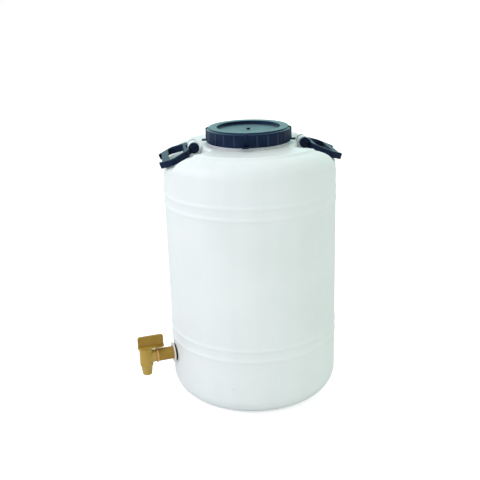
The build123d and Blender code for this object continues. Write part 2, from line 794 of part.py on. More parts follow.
with BuildPart() as tap_inner_gasket:
    with BuildSketch(across(nut_face)):
        Circle(inner_gasket_radius)
        Circle(inlet_radius + wall_hole_gap, mode=Mode.SUBTRACT)
    extrude(amount=drum_radius - nut_face)
    Cylinder(wall_inner, 2 * plateau_level, mode=Mode.INTERSECT)
tap_inner_gasket.part.label = "tap_inner_gasket"
export_step(tap_inner_gasket.part, "parts/tap_inner_gasket.step")

with BuildPart() as tap_lock_nut:
    with BuildSketch(across(nut_face - nut_thickness)):
        RegularPolygon(nut_flats / 2, 6, major_radius=False)
        Circle(inlet_radius + nut_gap, mode=Mode.SUBTRACT)
    extrude(amount=nut_thickness)
tap_lock_nut.part.label = "tap_lock_nut"
export_step(tap_lock_nut.part, "parts/tap_lock_nut.step")
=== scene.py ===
# %% [markdown]
# # A plastic drum with a tap
#
# The drum is a blow-moulded shell with a screw lid, two swing handles and a small barrel tap.
# Its construction is fixed already: every piece comes as a CAD body with its real size and place.
# This lesson dresses those pieces. Where a CAD piece has the right shape it only gets a finish, and
# where the moulded original is softer than the CAD piece, a new mesh stands for it.

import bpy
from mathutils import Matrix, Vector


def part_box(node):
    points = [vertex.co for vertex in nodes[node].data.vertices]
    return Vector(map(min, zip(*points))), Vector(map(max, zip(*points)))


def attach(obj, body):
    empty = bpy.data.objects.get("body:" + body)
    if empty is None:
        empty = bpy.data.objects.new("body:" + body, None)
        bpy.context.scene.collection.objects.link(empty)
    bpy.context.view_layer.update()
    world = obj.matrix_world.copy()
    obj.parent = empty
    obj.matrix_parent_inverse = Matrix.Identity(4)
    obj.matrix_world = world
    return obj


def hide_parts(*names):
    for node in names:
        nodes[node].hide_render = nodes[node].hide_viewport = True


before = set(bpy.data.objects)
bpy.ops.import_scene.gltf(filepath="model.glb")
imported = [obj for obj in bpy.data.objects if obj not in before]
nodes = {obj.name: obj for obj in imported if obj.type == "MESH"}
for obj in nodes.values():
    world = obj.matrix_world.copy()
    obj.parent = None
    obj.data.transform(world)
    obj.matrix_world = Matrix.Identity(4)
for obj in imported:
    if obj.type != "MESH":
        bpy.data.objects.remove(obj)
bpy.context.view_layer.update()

# %% The other tools, and the unit
from math import cos, pi, radians, sin, tan

import bpy
import numpy as np
from mathutils import Matrix, Vector

MM = 0.001
scene = bpy.context.scene
scene.view_settings.view_transform = "Standard"
print("Blender", bpy.app.version_string, "unit", MM, "m")

# %% [markdown]
# ## Sizes
#
# The drum's shell is worked out from these few sizes, in millimetres. Its radius and height are measured on
# the CAD piece, so the shell follows it. A hair is taken off, because the CAD piece is a mesh of flat facets
# and the new mesh is kept inside its box.

# %% Driving sizes
HAIR = 0.05
WALL = 3.2
BEAD_HEIGHT = 1.6
BEAD_HALF_WIDTH = 7.0
BEAD_LEVELS = (134.75, 158.45, 440.15, 463.85)
BASE_CORNER = 45.0
SHOULDER_RADIUS = 37.0
PLATEAU_RADIUS = 150.5
STEP_HEIGHT = 4.3
STEP_RUN = 3.0
STEP_ROUND = 2.2
NECK_RADIUS = 83.0
NECK_BORE = 79.0
NECK_HEIGHT = 30.0
NECK_ROOT = 3.0

drum_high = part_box("drum_body")[1]
NECK_TOP = drum_high[2] / MM
PLATEAU = NECK_TOP - NECK_HEIGHT
DRUM_RADIUS = drum_high[1] / MM - BEAD_HEIGHT - HAIR
print("drum radius", round(DRUM_RADIUS, 2), "plateau", round(PLATEAU, 2), "neck top", round(NECK_TOP, 2))

# %% [markdown]
# ## From rows of points to a mesh
#
# Nearly everything here is round, so most meshes are rows of points that run round the drum's axis.
# One function joins neighbouring rows with four-sided faces. A row of a single point is a pole, and the
# faces around it are triangles, so that the mesh is closed there. Points are in millimetres and the mesh is
# in metres, at the origin, so the piece already sits where it belongs.

# %% Mesh from rows
ON_AXIS = 1e-6


def mesh_object(name, points, faces):
    """New smooth object of these points, in millimetres, at the origin."""
    mesh = bpy.data.meshes.new(name)
    mesh.from_pydata((np.asarray(points) * MM).tolist(), [], faces)
    mesh.update()
    mesh.polygons.foreach_set("use_smooth", [True] * len(mesh.polygons))
    made = bpy.data.objects.new(name, mesh)
    scene.collection.objects.link(made)
    return made


def mesh_of_rows(name, rows):
    """Closed rings of points, joined one to the next; a ring of one point is a pole."""
    starts = np.cumsum([0] + [len(row) for row in rows])
    faces = []
    for low, high, start, after in zip(rows, rows[1:], starts, starts[1:]):
        count = max(len(low), len(high))
        for column in range(count):
            beside = (column + 1) % count
            if len(low) == 1:
                faces.append((start, after + beside, after + column))
            elif len(high) == 1:
                faces.append((start + column, start + beside, after))
            else:
                faces.append((start + column, start + beside, after + beside, after + column))
    return mesh_object(name, np.concatenate(rows), faces)


def rounded(corners, steps):
    """Path through (radius, height, rounding) corners, each rounded by an arc."""
    path = []
    for index, (radius, height, rounding) in enumerate(corners):
        corner = np.array((radius, height), float)
        if rounding == 0:
            path.append(corner)
            continue
        before = np.array(corners[index - 1][:2]) - corner
        after = np.array(corners[index + 1][:2]) - corner
        before = before / np.linalg.norm(before)
        after = after / np.linalg.norm(after)
        half = np.arccos(np.clip(before @ after, -1, 1)) / 2
        middle = before + after
        centre = corner + middle / np.linalg.norm(middle) * rounding / sin(half)
        first = corner + before * rounding / tan(half) - centre
        last = corner + after * rounding / tan(half) - centre
        sweep = pi - 2 * half
        for step in range(steps + 1):
            share = step / steps
            path.append(centre + (sin((1 - share) * sweep) * first + sin(share * sweep) * last) / sin(sweep))
    return np.array(path)


def revolved(path, columns):
    """Rows of points that turn a path of (radius, height) round the drum's axis."""
    turn = np.arange(columns) * 2 * pi / columns
    rows = []
    for radius, height in path:
        if radius < ON_AXIS:
            rows.append(np.array([(0, 0, height)]))
        else:
            across = [radius * np.cos(turn), radius * np.sin(turn)]
            rows.append(np.stack(across + [np.full(columns, height)], axis=1))
    return rows


def rim_rows(rounding, steps):
    """For rows between two rounded ends: how far each is drawn in, and how far it lies from its end."""
    quarter = np.linspace(0, pi / 2, steps + 1)
    inset = rounding * (1 - np.sin(quarter))
    return np.concatenate([inset, inset[::-1]]), rounding * (1 - np.cos(quarter))


print("row makers:", [made.__name__ for made in (mesh_of_rows, rounded, revolved, rim_rows)])

# %% [markdown]
# ## The drum's shell
#
# A blow-moulded drum has no sharp edge anywhere, and the two handle recesses run into the shoulder with soft
# rims. Cutting them with a boolean and bevelling the cut is fragile, because the rim crosses the curved
# shoulder and a small step. Instead the shape is written as a signed distance: a formula that is negative
# inside the plastic and positive outside. Distances join with a smooth maximum, which rounds every edge by
# itself. Rows of points start on the plain drum and slide inwards until the distance is zero. Where there
# is no recess they stay where they are.

# %% Distances that join smoothly
def smooth_max(first, second, blend):
    """Larger of two distances, with the corner between them rounded."""
    share = np.clip(0.5 + 0.5 * (first - second) / blend, 0, 1)
    return second + (first - second) * share + blend * share * (1 - share)


def rounded_disc(reach, height, radius, level, rounding):
    """Distance to a thick disc with this radius and top level, whose edge is rounded."""
    outward = reach - (radius - rounding)
    upward = height - (level - rounding)
    outside = np.hypot(np.maximum(outward, 0), np.maximum(upward, 0))
    return outside + np.minimum(np.maximum(outward, upward), 0) - rounding


print("a corner of two distances, blended over 4 mm, moves by", smooth_max(0.0, 0.0, 4.0), "mm")

# %% Shape of the shoulder and the handle recesses
POCKET_FLOOR = PLATEAU - 30.0
POCKET_HALF_WIDTH = 92.0
POCKET_FLARE_REACH = 122.0
POCKET_FLARE = radians(40)
POCKET_DRAFT = radians(30)
POCKET_INNER_RADIUS = 100.0
POCKET_INNER_DRAFT = radians(20)
LIP_RADIUS = 20.0
LIP_REACH = DRUM_RADIUS - 18.0
POCKET_BLEND = 11.0
RIM_BLEND = 7.0
STEP_BLEND = 5.0

shoulder_reach = DRUM_RADIUS - SHOULDER_RADIUS
step_foot = PLATEAU_RADIUS + STEP_RUN
shoulder_turn = np.arccos((step_foot - shoulder_reach) / SHOULDER_RADIUS)
shoulder_level = PLATEAU - STEP_HEIGHT - SHOULDER_RADIUS * sin(shoulder_turn)


def distance_to_top(reach, turn, height):
    """Distance to the drum's top at a reach from the axis, a turn round it and a height."""
    x = np.abs(reach * np.cos(turn))
    y = np.abs(reach * np.sin(turn))
    depth = PLATEAU - height
    shoulder = rounded_disc(reach, height, DRUM_RADIUS, shoulder_level + SHOULDER_RADIUS, SHOULDER_RADIUS)
    plateau = rounded_disc(reach, height, PLATEAU_RADIUS + STEP_ROUND, PLATEAU, STEP_ROUND)
    outer = -smooth_max(-shoulder, -plateau, STEP_BLEND)
    lean = depth * tan(POCKET_DRAFT)
    side = (y - POCKET_HALF_WIDTH + lean) * cos(POCKET_DRAFT)
    flare_plan = (y - POCKET_HALF_WIDTH) * cos(POCKET_FLARE) + (POCKET_FLARE_REACH - x) * sin(POCKET_FLARE)
    flare = (flare_plan + lean) * cos(POCKET_DRAFT)
    inner = (POCKET_INNER_RADIUS + depth * tan(POCKET_INNER_DRAFT) - reach) * cos(POCKET_INNER_DRAFT)
    floor_below = rounded_disc(reach, height, LIP_REACH + LIP_RADIUS, POCKET_FLOOR, LIP_RADIUS)
    pocket = smooth_max(smooth_max(side, flare, POCKET_BLEND), inner, POCKET_BLEND)
    pocket = smooth_max(pocket, -floor_below, POCKET_BLEND)
    return smooth_max(outer, -pocket, RIM_BLEND)


print("shoulder starts at", round(shoulder_level, 1), "recess floor at", round(POCKET_FLOOR, 1))

# %% Rows of the base and the side
TOP_START = 500.0
BASE_STEPS = 12
SIDE_ROWS = 16
BEAD_ROWS = 9


def bead_rise(height):
    """How far the four beads stand out of the side at this height."""
    rise = np.zeros_like(height)
    for level in BEAD_LEVELS:
        near = np.clip(np.abs(height - level) / BEAD_HALF_WIDTH, 0, 1)
        rise += BEAD_HEIGHT * 0.5 * (1 + np.cos(pi * near))
    return rise


base_corners = [(0, 0, 0), (DRUM_RADIUS, 0, BASE_CORNER), (DRUM_RADIUS, TOP_START, 0)]
base_path = rounded(base_corners, BASE_STEPS)[:-1]
side_levels = [np.linspace(BASE_CORNER, TOP_START, SIDE_ROWS)[1:]]
bead_span = np.linspace(-BEAD_HALF_WIDTH, BEAD_HALF_WIDTH, BEAD_ROWS)
side_levels += [level + bead_span for level in BEAD_LEVELS]
side_levels = np.unique(np.concatenate(side_levels).round(3))
side_path = np.stack([DRUM_RADIUS + bead_rise(side_levels), side_levels], axis=1)
print("rows: base", len(base_path), "side", len(side_path))

# %% Rows of the top, with the way each one slides
TOP_SPACING = 1.5
CLIMB_ROWS = 10
STEP_ROWS = 5
TILT_OUT = radians(10)
TILT_IN = radians(45)

climb = np.linspace(TOP_START, shoulder_level, CLIMB_ROWS)[1:-1]
arc = np.linspace(0, shoulder_turn, int(SHOULDER_RADIUS * shoulder_turn / TOP_SPACING))
flat = np.arange(PLATEAU_RADIUS, NECK_RADIUS + NECK_ROOT, -TOP_SPACING)
step_arc = np.linspace(0, pi / 2, STEP_ROWS)[:-1]
tilt = np.interp(flat, (POCKET_INNER_RADIUS, PLATEAU_RADIUS), (TILT_IN, TILT_OUT))


def on_arc(reach, level, radius, angles):
    """Points of an arc round a centre at this reach and level."""
    return [(reach + radius * cos(angle), level + radius * sin(angle)) for angle in angles]


top_start = [(DRUM_RADIUS, level) for level in climb]
top_start += on_arc(shoulder_reach, shoulder_level, SHOULDER_RADIUS, arc)
top_start += on_arc(PLATEAU_RADIUS, PLATEAU - STEP_ROUND, STEP_ROUND, step_arc)
top_start += [(radius, PLATEAU) for radius in flat]
top_slide = [(-1, 0) for level in climb]
top_slide += [(-cos(angle), -sin(angle)) for angle in arc]
top_slide += [(-sin(TILT_OUT), -cos(TILT_OUT)) for angle in step_arc]
top_slide += [(-sin(angle), -cos(angle)) for angle in tilt]
top_start = np.array(top_start)
top_slide = np.array(top_slide)
print("rows: top", len(top_start))

# %% Slide the top rows into the recesses
FINE_TURN = 44.0
FINE_STEP = 0.8
COARSE_STEP = 3.0
SLIDE_ATTEMPTS = 90
SLIDE_SHARE = 0.7

fine = np.arange(-FINE_TURN, FINE_TURN, FINE_STEP)
coarse = np.arange(FINE_TURN, 180 - FINE_TURN, COARSE_STEP)
turns = np.radians(np.concatenate([fine, coarse, fine + 180, coarse + 180]))

slid = np.zeros((len(top_start), len(turns)))
for attempt in range(SLIDE_ATTEMPTS):
    reach = top_start[:, :1] + slid * top_slide[:, :1]
    height = top_start[:, 1:] + slid * top_slide[:, 1:]
    slid += SLIDE_SHARE * distance_to_top(reach, turns[None, :], height)
print("columns:", len(turns), "deepest slide:", round(slid.max(), 1), "mm")


def ring(reach, height):
    """Row of points at these reaches and heights, one per column."""
    reach = np.broadcast_to(reach, turns.shape)
    height = np.broadcast_to(height, turns.shape)
    return np.stack([reach * np.cos(turns), reach * np.sin(turns), height], axis=1)


outer_rows = [ring(*point) for point in base_path[1:]]
outer_rows += [ring(*point) for point in side_path]
outer_rows += [ring(*pair) for pair in zip(reach, height)]

# %% [markdown]
# The inner skin is the outer one moved in by the wall's thickness, along the mesh's own normals. Rows that
# only carry the beads are left out of it, since nobody sees them there. The neck joins the two skins. Its
# path starts and ends with a corner that only gives the direction, and both are left off.

# %% Inner skin and neck
BEAD_TRACE = 0.01
NECK_LEAD = 1.0
NECK_EDGE = 1.0
BORE_EDGE = 2.0
NECK_STEPS = 4

grid = np.array(outer_rows)
along_turn = np.roll(grid, -1, axis=1) - np.roll(grid, 1, axis=1)
along_rows = np.gradient(grid, axis=0)
normals = np.cross(along_turn, along_rows)
normals /= np.linalg.norm(normals, axis=2, keepdims=True)
inner_grid = grid - WALL * normals

bead_row = np.zeros(len(grid), bool)
first_side = len(base_path) - 1
bead_row[first_side:first_side + len(side_path)] = side_path[:, 0] > DRUM_RADIUS + BEAD_TRACE
inner_rows = [row for row, skipped in zip(inner_grid, bead_row) if not skipped][::-1]

neck_path = rounded([
    (NECK_RADIUS + NECK_ROOT + NECK_LEAD, PLATEAU, 0),
    (NECK_RADIUS, PLATEAU, NECK_ROOT),
    (NECK_RADIUS, NECK_TOP, NECK_EDGE),
    (NECK_BORE, NECK_TOP, NECK_EDGE),
    (NECK_BORE, PLATEAU - WALL, BORE_EDGE),
    (NECK_RADIUS + NECK_ROOT, PLATEAU - WALL, 0),
], NECK_STEPS)[1:-1]
neck_rows = [ring(*point) for point in neck_path]
shell_rows = [np.array([(0, 0, 0)])] + outer_rows + neck_rows + inner_rows + [np.array([(0, 0, WALL)])]
drum_shell = mesh_of_rows("drum_shell", shell_rows)
drum_shell.data.calc_loop_triangles()
print("drum shell:", len(drum_shell.data.loop_triangles), "triangles")

# %% [markdown]
# ## The hinge bosses
#
# Each handle turns on a pin through a boss that stands in its recess. The boss is an arch in outline, with a
# foot that spreads where it meets the floor. A bevelled block would round the rim but not spread the foot.
# So rows of the outline follow each other along Y, and the rows near both ends are drawn in.

# %% Bosses
PIVOT_REACH = 117.5
PIVOT_LEVEL = PLATEAU - 1.7
BOSS_RADIUS = 12.0
BOSS_HALF_LENGTH = 11.0
BOSS_ROUND = 2.5
FOOT_SPREAD = 6.0
FOOT_HEIGHT = 8.0
ARCH_POINTS = 25
LEG_POINTS = 12
RIM_STEPS = 5


def boss(name, side):
    """Arch-shaped boss on the right (side 1) or the left (side -1)."""
    bend = np.linspace(0, pi, ARCH_POINTS)
    legs = np.linspace(1, 0, LEG_POINTS)[:-1]
    inset, from_end = rim_rows(BOSS_ROUND, RIM_STEPS)
    end = BOSS_HALF_LENGTH - from_end
    rows = []
    for y, draw_in in zip(np.concatenate([-end, end[::-1]]), inset):
        radius = BOSS_RADIUS - draw_in
        arch = np.stack([radius * np.cos(bend), PIVOT_LEVEL + radius * np.sin(bend)], axis=1)
        leg_levels = POCKET_FLOOR - WALL / 2 + (PIVOT_LEVEL - POCKET_FLOOR + WALL / 2) * legs
        down = np.stack([np.full(len(legs), -radius), leg_levels], axis=1)[1:]
        up = np.stack([np.full(len(legs), radius), leg_levels], axis=1)[::-1]
        outline = np.concatenate([arch, down, up[:-1]])
        low = np.clip(1 - (outline[:, 1] - POCKET_FLOOR) / FOOT_HEIGHT, 0, 1) ** 2
        x = outline[:, 0] + np.sign(outline[:, 0]) * FOOT_SPREAD * low
        spread_y = y + np.sign(y) * FOOT_SPREAD * low
        rows.append(np.stack([side * (PIVOT_REACH + x), spread_y, outline[:, 1]], axis=1)[::side])
    middle = np.array([(side * PIVOT_REACH, 0, PIVOT_LEVEL)])
    near = middle + np.array([(0, -BOSS_HALF_LENGTH, 0)])
    far = middle + np.array([(0, BOSS_HALF_LENGTH, 0)])
    return mesh_of_rows(name, [near] + rows + [far])


bosses = [boss("right_boss", 1), boss("left_boss", -1)]
print("bosses:", [made.name for made in bosses])

# %% [markdown]
# ## The screw lid
#
# The lid is one path turned round the axis: skirt, sloped ledge, small step, flat rim, sunk disc with a nib
# in its middle, and back along the inside. Insets and bevels on a cylinder would make it too, but a path
# keeps every size in one table. The table has a rounding for each corner, because a moulded edge is never
# quite sharp and a soft edge catches the light.

# %% Lid sizes
lid_low, lid_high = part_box("screw_lid")
LID_BOTTOM = lid_low[2] / MM
LID_TOP = lid_high[2] / MM
LID_RADIUS = 89.3
LID_INNER_RADIUS = 86.7
LID_RIM_RADIUS = 84.5
LID_SLOPE_FOOT = LID_TOP - 4.0
LID_LEDGE_FOOT = LID_TOP - 3.7
LID_LEDGE_TOP = LID_TOP - 2.0
LID_CEILING = LID_TOP - 3.5
LID_CORNER_SLOPE = 3.0
LID_RECESS = 67.0
LID_DISC = LID_TOP - 6.0
LID_DISC_UNDER = LID_DISC - 3.0
LID_DISC_EDGE = LID_RECESS + LID_RADIUS - LID_INNER_RADIUS
STEP_DRAFT = 0.4
RECESS_DRAFT = 0.6
NIB_FOOT = 4.0
NIB_RADIUS = 3.7
NIB_TOP = LID_DISC + 3.0
print("lid from", round(LID_BOTTOM, 1), "to", round(LID_TOP, 1), "mm")

# %% Lid cover
LID_STEPS = 5
LID_COLUMNS = 192

lid_path = rounded([
    (0, LID_DISC_UNDER, 0),
    (LID_DISC_EDGE, LID_DISC_UNDER, 0.8),
    (LID_DISC_EDGE, LID_CEILING, 0.8),
    (LID_INNER_RADIUS - LID_CORNER_SLOPE, LID_CEILING, 0.5),
    (LID_INNER_RADIUS, LID_CEILING - LID_CORNER_SLOPE, 0.5),
    (LID_INNER_RADIUS, LID_BOTTOM, 0.6),
    (LID_RADIUS, LID_BOTTOM, 0.8),
    (LID_RADIUS, LID_LEDGE_FOOT, 0.6),
    (LID_RIM_RADIUS + STEP_DRAFT, LID_LEDGE_TOP, 0.4),
    (LID_RIM_RADIUS, LID_TOP, 0.5),
    (LID_RECESS, LID_TOP, 1.5),
    (LID_RECESS - RECESS_DRAFT, LID_DISC, 1.2),
    (NIB_FOOT, LID_DISC, 0.5),
    (NIB_RADIUS, NIB_TOP, 1.0),
    (0, NIB_TOP, 0),
], LID_STEPS)
lid_cover = mesh_of_rows("lid_cover", revolved(lid_path, LID_COLUMNS))
print("lid cover:", len(lid_cover.data.polygons), "faces")

# %% [markdown]
# ## The screw thread
#
# A thread is one section, a low trapezium, carried round the axis while it climbs. The neck has one thread
# on its outside and the lid has one on its inside, half a pitch lower. The Screw modifier could carry the
# section, but it leaves the ends open, so a function writes out the rows and closes them. When the crest
# lies nearer the axis than the root, the section's points run the other way round, so that the faces still
# look outward.

# %% Threads of the neck and the lid
THREAD_PITCH = 9.0
THREAD_DEPTH = 3.0
THREAD_SINK = 0.8
THREAD_ROOT = 4.2
THREAD_CREST = 2.2
NECK_THREAD = NECK_TOP - 16.5
NECK_THREAD_TURNS = 1.25
LID_THREAD = NECK_THREAD - THREAD_PITCH / 2
LID_THREAD_TURNS = 1.0
COLUMNS_PER_TURN = 96


def thread(name, root, crest, level, turns):
    """Right-handed thread that starts at azimuth zero and climbs by one pitch per turn."""
    sunk = root + THREAD_SINK * np.sign(root - crest)
    section = [(sunk, THREAD_ROOT), (root, THREAD_ROOT), (crest, THREAD_CREST),
               (crest, -THREAD_CREST), (root, -THREAD_ROOT), (sunk, -THREAD_ROOT)]
    if crest < root:
        section = section[::-1]
    middle = (sum(radius for radius, width in section) / len(section), 0)
    angles = np.linspace(0, 2 * pi * turns, int(COLUMNS_PER_TURN * turns) + 1)

    def placed(points, angle):
        """Points of the section, turned to this angle and raised with it."""
        radius, width = np.array(points, float).T
        height = level + THREAD_PITCH * angle / (2 * pi) + width / 2
        return np.stack([radius * cos(angle), radius * sin(angle), height], axis=1)

    rows = [placed(section, angle) for angle in angles]
    return mesh_of_rows(name, [placed([middle], 0)] + rows + [placed([middle], angles[-1])])


neck_crest = NECK_RADIUS + THREAD_DEPTH
lid_crest = LID_INNER_RADIUS - THREAD_DEPTH
neck_thread = thread("neck_thread", NECK_RADIUS, neck_crest, NECK_THREAD, NECK_THREAD_TURNS)
lid_thread = thread("lid_thread", LID_INNER_RADIUS, lid_crest, LID_THREAD, LID_THREAD_TURNS)
print("threads:", len(neck_thread.data.polygons), "and", len(lid_thread.data.polygons), "faces")

# %% [markdown]
# ## What repeats: grips and lugs
#
# The lid has twenty-four places round its skirt. Twenty show a plain grip rib, and at every sixth place a
# lug with a tab at its foot covers the rib. One rib, one lug and one tab are modelled at azimuth zero, and a
# small node tree sets copies of them round the axis. Its inputs are named, so the same tree serves all
# three. The result is turned into a plain mesh, because a plain mesh is what the rest of the part can use.

# %% Rounded blocks
EDGE_STEPS = 3


def box_rows(low, high, rounding):
    """Rounded box between two corners, as rows that climb along Z."""
    low = np.array(low, float)
    high = np.array(high, float)
    inset, from_end = rim_rows(rounding, EDGE_STEPS)
    levels = np.concatenate([low[2] + from_end, high[2] - from_end[::-1]])
    quarter = np.linspace(0, pi / 2, EDGE_STEPS + 1)
    corner_signs = ((1, 1), (-1, 1), (-1, -1), (1, -1))
    centre = (low + high) / 2
    half = (high - low) / 2
    rows = [np.array([(centre[0], centre[1], low[2])])]
    for level, draw_in in zip(levels, inset):
        points = []
        for index, signs in enumerate(corner_signs):
            for angle in quarter + index * pi / 2:
                x = centre[0] + signs[0] * (half[0] - rounding) + (rounding - draw_in) * cos(angle)
                y = centre[1] + signs[1] * (half[1] - rounding) + (rounding - draw_in) * sin(angle)
                points.append((x, y, level))
        rows.append(np.array(points))
    return rows + [np.array([(centre[0], centre[1], high[2])])]


def prism_rows(section, middle, width, rounding):
    """Block with this section in the XZ plane, as rows that run towards -Y, its ends' edges rounded."""
    corners = np.array(section, float)
    ahead = np.roll(corners, -1, axis=0) - corners
    ahead /= np.linalg.norm(ahead, axis=1)[:, None]
    normals = np.stack([ahead[:, 1], -ahead[:, 0]], axis=1)
    before = np.roll(normals, 1, axis=0)
    inward = -(normals + before) / (1 + (normals * before).sum(axis=1))[:, None]
    inset, from_end = rim_rows(rounding, EDGE_STEPS)
    places = np.concatenate([width / 2 - from_end, from_end[::-1] - width / 2])
    rows = [np.array([(middle[0], width / 2, middle[1])])]
    for draw_in, y in zip(inset, places):
        drawn = corners + draw_in * inward
        rows.append(np.array([(x, y, z) for x, z in drawn]))
    return rows + [np.array([(middle[0], -width / 2, middle[1])])]


print("block makers:", box_rows.__name__, prism_rows.__name__)

# %% A rib, a lug and a tab to copy
SKIRT_SINK = 1.6
RIB_WIDTH = 3.4
RIB_HEIGHT = 1.2
RIB_MARGIN = 2.0
RIB_ROUND = 1.1
LUG_WIDTH = 7.5
LUG_HEIGHT = 1.7
LUG_TIP_DROP = 2.6
LUG_TIE = 0.5
LUG_SINK = 1.3
LUG_ROUND = 0.5
LUG_POLE_REACH = 0.6
LUG_POLE_DROP = 1.0
TAB_WIDTH = 13.5
TAB_REACH = 10.3
TAB_THICKNESS = 3.0
TAB_ROUND = 1.0
FOOT_LIFT = 0.6


def on_skirt(name, width, height, low, high, rounding):
    """Rounded block of this width that stands out of the lid's skirt at azimuth zero."""
    inner = (LID_RADIUS - SKIRT_SINK, -width / 2, low)
    outer = (LID_RADIUS + height, width / 2, high)
    return mesh_of_rows(name, box_rows(inner, outer, rounding))


foot = LID_BOTTOM + FOOT_LIFT
rib_low = LID_BOTTOM + RIB_MARGIN
rib_high = LID_SLOPE_FOOT - RIB_MARGIN
rib_source = on_skirt("rib_source", RIB_WIDTH, RIB_HEIGHT, rib_low, rib_high, RIB_ROUND)
lug_root = LID_RADIUS - LUG_SINK
lug_section = [
    (lug_root, foot),
    (LID_RADIUS + LUG_HEIGHT, foot),
    (LID_RADIUS + LUG_HEIGHT, LID_TOP - LUG_TIP_DROP),
    (LID_RIM_RADIUS - LUG_TIE, LID_TOP - LUG_TIE),
    (lug_root, LID_SLOPE_FOOT - LUG_TIE),
]
lug_middle = (lug_root + LUG_POLE_REACH, LID_SLOPE_FOOT - LUG_POLE_DROP)
lug_source = mesh_of_rows("lug_source", prism_rows(lug_section, lug_middle, LUG_WIDTH, LUG_ROUND))
tab_source = on_skirt("tab_source", TAB_WIDTH, TAB_REACH, foot, foot + TAB_THICKNESS, TAB_ROUND)
sources = (rib_source, lug_source, tab_source)
print("sources:", [made.name for made in sources])

# %% A node tree that sets copies round the axis
def copies_tree():
    """Geometry nodes: copies of an object, turned round the axis in equal steps."""
    tree = bpy.data.node_groups.new("copies_round_axis", "GeometryNodeTree")
    wanted = (("Source", "NodeSocketObject"), ("Count", "NodeSocketInt"), ("Start", "NodeSocketFloat"),
              ("Material", "NodeSocketMaterial"))
    for name, kind in wanted:
        tree.interface.new_socket(name, in_out="INPUT", socket_type=kind)
    tree.interface.new_socket("Geometry", in_out="OUTPUT", socket_type="NodeSocketGeometry")
    made = {name: tree.nodes.new(kind) for name, kind in (
        ("inputs", "NodeGroupInput"), ("points", "GeometryNodePoints"), ("index", "GeometryNodeInputIndex"),
        ("step", "ShaderNodeMath"), ("turn", "ShaderNodeMath"), ("angles", "ShaderNodeCombineXYZ"),
        ("source", "GeometryNodeObjectInfo"), ("copies", "GeometryNodeInstanceOnPoints"),
        ("real", "GeometryNodeRealizeInstances"), ("finish", "GeometryNodeSetMaterial"),
        ("result", "NodeGroupOutput"))}
    made["step"].operation = "DIVIDE"
    made["step"].inputs[0].default_value = 2 * pi
    made["turn"].operation = "MULTIPLY_ADD"
    for start, output, end, entry in (
        ("inputs", "Count", "points", "Count"), ("inputs", "Source", "source", "Object"),
        ("inputs", "Count", "step", 1), ("index", "Index", "turn", 0), ("step", 0, "turn", 1),
        ("inputs", "Start", "turn", 2), ("turn", 0, "angles", "Z"), ("points", 0, "copies", "Points"),
        ("source", "Geometry", "copies", "Instance"), ("angles", 0, "copies", "Rotation"),
        ("copies", 0, "real", "Geometry"), ("real", 0, "finish", "Geometry"),
        ("inputs", "Material", "finish", "Material"), ("finish", 0, "result", 0)):
        tree.links.new(made[start].outputs[output], made[end].inputs[entry])
    return tree


round_axis = copies_tree()
print("node tree:", round_axis.name, "with", len(round_axis.nodes), "nodes")


# %% From a node tree to a plain mesh
def from_nodes(name, tree, **values):
    """Plain mesh object that a node tree makes with these input values."""
    carrier = bpy.data.objects.new(name, bpy.data.meshes.new(name))
    scene.collection.objects.link(carrier)
    modifier = carrier.modifiers.new("nodes", "NODES")
    modifier.node_group = tree
    for item in tree.interface.items_tree:
        if item.in_out == "INPUT":
            modifier[item.identifier] = values[item.name]
    carrier.update_tag()
    shown = carrier.evaluated_get(bpy.context.evaluated_depsgraph_get())
    plain = bpy.data.meshes.new_from_object(shown)
    carrier.modifiers.remove(modifier)
    carrier.data = plain
    plain.polygons.foreach_set("use_smooth", [True] * len(plain.polygons))
    return carrier


print("mesh maker:", from_nodes.__name__)

# %% [markdown]
# ## Finishes
#
# Shader maths reads best when it looks like maths. The class below wraps a node's socket, so that adding or
# multiplying two wrapped sockets makes the math node between them. Its method `node` makes any other node.

# %% Sockets that behave like numbers
class Wire:
    """A socket of a node tree."""

    def __init__(self, tree, socket):
        self.tree = tree
        self.socket = socket

    def node(self, kind, inputs=None, output=0, **settings):
        """Make a node, set or link its inputs and return one of its outputs."""
        made = self.tree.nodes.new(kind)
        for name, value in settings.items():
            setattr(made, name, value)
        for key, value in (inputs or {}).items():
            if isinstance(value, Wire):
                self.tree.links.new(value.socket, made.inputs[key])
            else:
                made.inputs[key].default_value = value
        return Wire(self.tree, made.outputs[output])

    def maths(self, operation, first, second):
        """Result of a math node on two sockets or numbers."""
        return self.node("ShaderNodeMath", {0: first, 1: second}, operation=operation)

    def __add__(self, other):
        return self.maths("ADD", self, other)

    def __radd__(self, other):
        return self.maths("ADD", other, self)

    def __rsub__(self, other):
        return self.maths("SUBTRACT", other, self)

    def __mul__(self, other):
        return self.maths("MULTIPLY", self, other)

    def __truediv__(self, other):
        return self.maths("DIVIDE", self, other)

    def ramp(self, low, high):
        """Zero up to low, one from high on, smooth between."""
        return self.node("ShaderNodeMapRange", {0: self, 1: low, 2: high, 3: 0.0, 4: 1.0},
                         interpolation_type="SMOOTHSTEP", clamp=True)

    def noise(self, scale, detail=3.0):
        """Cloudy noise at this place."""
        return self.node("ShaderNodeTexNoise", {"Vector": self, "Scale": scale, "Detail": detail})

    def blend(self, first, second):
        """Colour between two colours, by this share."""
        return self.node("ShaderNodeMix", {0: self, 6: first, 7: second}, output=2, data_type="RGBA")

    def stretch(self, x, y, z):
        """This place, stretched along the axes."""
        return self.node("ShaderNodeVectorMath", {0: self, 1: (x, y, z)}, operation="MULTIPLY")


print("sockets that behave like numbers:", Wire.__name__)


# %% Colours and empty materials
def colour(red, green, blue):
    """Colour of a picture's values from 0 to 255, as light, by the sRGB curve."""
    linear = [((value / 255 + 0.055) / 1.055) ** 2.4 if value > 10 else value / 255 / 12.92
              for value in (red, green, blue)]
    return (*linear, 1.0)


